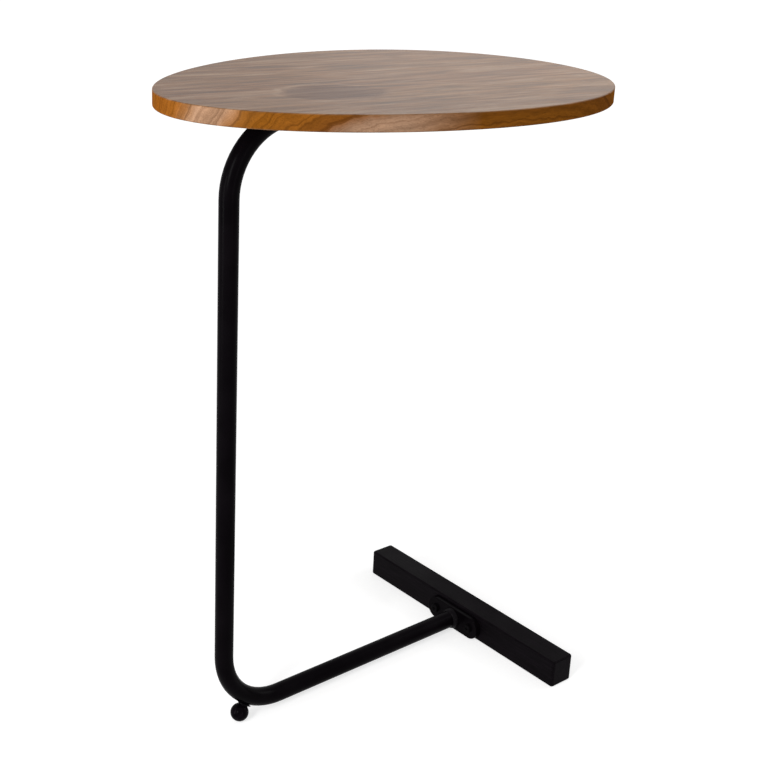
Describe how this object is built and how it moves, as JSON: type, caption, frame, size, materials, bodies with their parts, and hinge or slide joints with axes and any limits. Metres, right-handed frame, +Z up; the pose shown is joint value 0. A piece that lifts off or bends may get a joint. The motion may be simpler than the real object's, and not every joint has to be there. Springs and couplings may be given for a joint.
{
  "type": "c shaped side table",
  "caption": "C shaped side table: an egg shaped wooden top carried on a bent steel tube, with a wooden floor bar on its open side and a ball foot under the post.",
  "frame": {"origin": "On the floor, under the middle of the top's length and width.", "axes": "+Z is up. +X runs from the post to the floor bar, towards the open side of the C. +Y runs across the table, along the floor bar."},
  "size_m": [0.47, 0.3624, 0.65],
  "materials": {
    "top_wood": "satin clear lacquer over brown hardwood",
    "bar_wood": "black stain with a satin lacquer",
    "black_steel": "semi-gloss black powder coat",
    "ball_steel": "gloss black enamel",
    "plug_plastic": "matt black moulded plastic",
    "tab_screw_steel": "bright zinc plate",
    "flange_screw_steel": "black phosphate"
  },
  "bodies": {
    "root": {"tabletop": "top_wood", "tube_frame": "black_steel", "tube_end_plug": "plug_plastic", "mounting_tab_post_left": "black_steel", "mounting_tab_post_right": "black_steel", "mounting_tab_bar_left": "black_steel", "mounting_tab_bar_right": "black_steel", "tab_welds": "black_steel", "tab_screws": "tab_screw_steel", "base_flange": "black_steel", "flange_weld": "black_steel", "flange_screws": "flange_screw_steel", "base_bar": "bar_wood", "ball_foot": "ball_steel", "ball_weld": "black_steel"}
  },
  "joints": []
}
